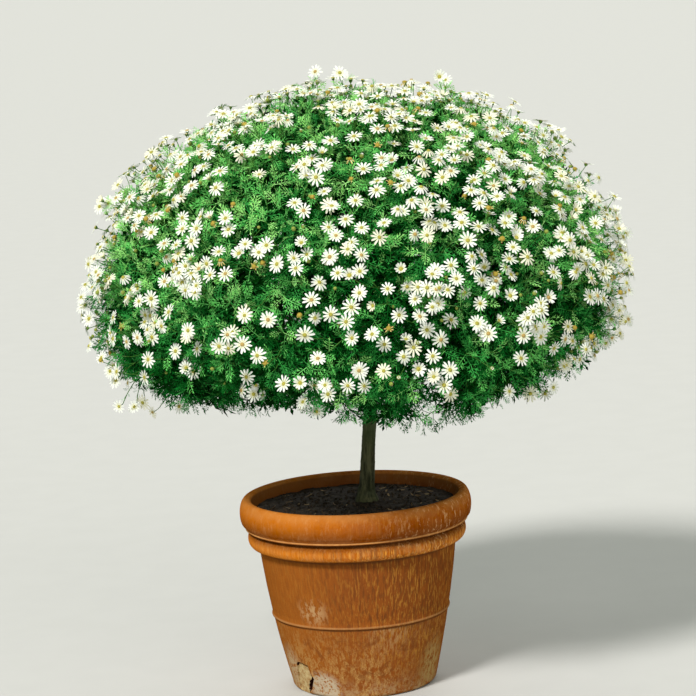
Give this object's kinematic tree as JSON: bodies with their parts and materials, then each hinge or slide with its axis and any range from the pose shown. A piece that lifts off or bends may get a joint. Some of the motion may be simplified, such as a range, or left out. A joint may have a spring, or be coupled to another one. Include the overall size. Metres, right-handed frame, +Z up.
{
  "type": "potted marguerite daisy tree",
  "caption": "Standard marguerite shrub in flower: a round head of ferny foliage and white daisies on one bare stem, in a roll-rimmed terracotta pot.",
  "frame": {"origin": "middle of the pot's flat underside, on the ground", "axes": "+Z up along the pot's axis, -Y towards the viewer of the picture, +X to the viewer's right"},
  "size_m": [1.1999, 1.2117, 1.328],
  "materials": {
    "terracotta": "matt, weathered",
    "soil": "rough, moist",
    "bark": "rough bark",
    "foliage": "leaves, with white daisies"
  },
  "bodies": {
    "root": {"pot": "terracotta", "soil": "soil", "trunk": "bark", "bough_top": "bark", "bough_upper_1": "bark", "bough_upper_2": "bark", "bough_upper_3": "bark", "bough_upper_4": "bark", "bough_upper_5": "bark", "bough_lower_1": "bark", "bough_lower_2": "bark", "bough_lower_3": "bark", "bough_lower_4": "bark", "bough_lower_5": "bark", "bough_lower_6": "bark", "bough_lower_7": "bark", "bough_lower_8": "bark", "foliage_top": "foliage", "foliage_upper_1": "foliage", "foliage_upper_2": "foliage", "foliage_upper_3": "foliage", "foliage_upper_4": "foliage", "foliage_upper_5": "foliage", "foliage_lower_1": "foliage", "foliage_lower_2": "foliage", "foliage_lower_3": "foliage", "foliage_lower_4": "foliage", "foliage_lower_5": "foliage", "foliage_lower_6": "foliage", "foliage_lower_7": "foliage", "foliage_lower_8": "foliage"}
  },
  "joints": []
}
